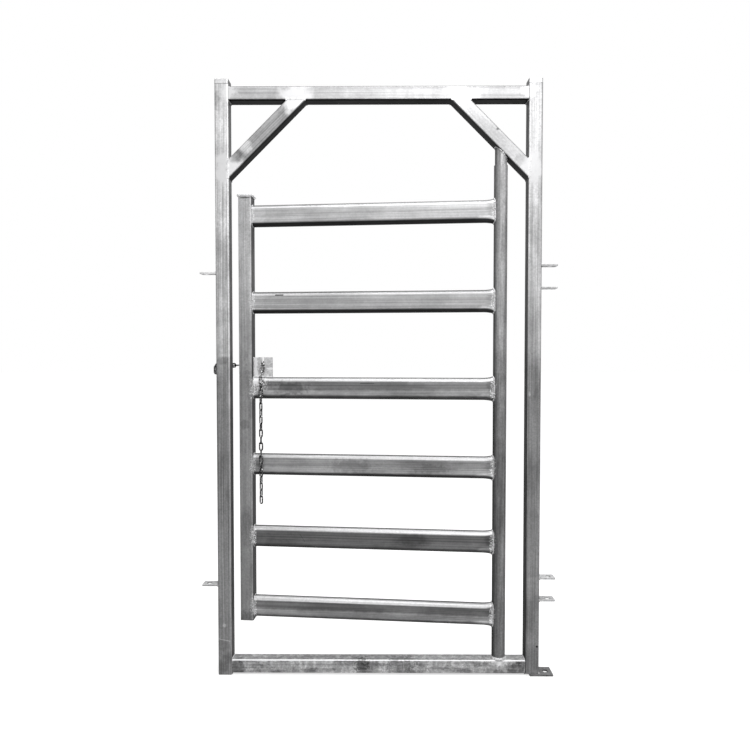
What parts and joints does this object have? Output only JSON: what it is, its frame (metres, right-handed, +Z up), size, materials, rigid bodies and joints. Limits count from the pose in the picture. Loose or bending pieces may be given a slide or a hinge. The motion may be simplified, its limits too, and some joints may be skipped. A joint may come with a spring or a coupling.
{
  "type": "pedestrian gate",
  "caption": "Galvanised yard gate: welded square-tube frame with corner braces and a swinging leaf of oval rails, hung on a pipe hinge and held by a slotted chain latch.",
  "frame": {"origin": "on the ground, midway between the posts, in the mid-plane of the frame", "axes": "+X from the latch post to the hinge post, +Z up, -Y the front, from which the leaf stands slightly open to the back"},
  "size_m": [1.276, 0.1572, 2.1345],
  "materials": {
    "galvanised_tube": "hot-dip galvanised, satin",
    "galvanised_rail": "galvanised strip, satin",
    "galvanised_plate": "galvanised plate, matt",
    "weld_metal": "zinc-coated weld, bright",
    "chain_steel": "galvanised chain, satin",
    "post_cap": "galvanised pressing, satin"
  },
  "bodies": {
    "frame": {"left_post": "galvanised_tube", "right_post": "galvanised_tube", "left_post_cap": "post_cap", "right_post_cap": "post_cap", "top_bar": "galvanised_tube", "sill": "galvanised_tube", "left_brace": "galvanised_tube", "right_brace": "galvanised_tube", "foot_plate": "galvanised_plate", "left_upper_lug": "galvanised_plate", "left_lower_lug": "galvanised_plate", "right_upper_lug_top": "galvanised_plate", "right_upper_lug_bottom": "galvanised_plate", "right_lower_lug_top": "galvanised_plate", "right_lower_lug_bottom": "galvanised_plate", "bottom_hinge_stub": "galvanised_tube", "bottom_stub_collar": "weld_metal", "top_hinge_stub": "galvanised_tube", "chain_anchor_link": "chain_steel", "post_chain_run": "chain_steel"},
    "leaf": {"hinge_pipe": "galvanised_tube", "latch_stile": "galvanised_tube", "stile_cap": "galvanised_plate", "rail_1": "galvanised_rail", "rail_2": "galvanised_rail", "rail_3": "galvanised_rail", "rail_4": "galvanised_rail", "rail_5": "galvanised_rail", "rail_6": "galvanised_rail", "latch_plate": "galvanised_plate", "slot_chain": "chain_steel"},
    "loose_chain": {"post_chain_end": "chain_steel"},
    "tail_top": {"tail_link": "chain_steel"},
    "tail": {"chain_tail": "chain_steel"}
  },
  "joints": [
    {"name": "leaf_swing", "type": "hinge", "parent": "frame", "child": "leaf", "pos_m": [0.437, 0, 0.064], "axis": [0, 0, -1], "range_deg": [-150, 140]},
    {"name": "loose_chain_drop", "type": "hinge", "parent": "frame", "child": "loose_chain", "pos_m": [-0.53846, 0.0591, 1.12], "axis": [-0.9848, 0.1736, 0], "range_deg": [0, 85]},
    {"name": "tail_swing", "type": "hinge", "parent": "leaf", "child": "tail_top", "pos_m": [-0.43312, 0.04331, 1.05248], "axis": [-0.996, 0.0898, 0], "range_deg": [0, 75]},
    {"name": "tail_sway", "type": "hinge", "parent": "tail_top", "child": "tail", "pos_m": [-0.43312, 0.04331, 1.02788], "axis": [-0.0898, -0.996, 0], "range_deg": [-9, 35]}
  ]
}
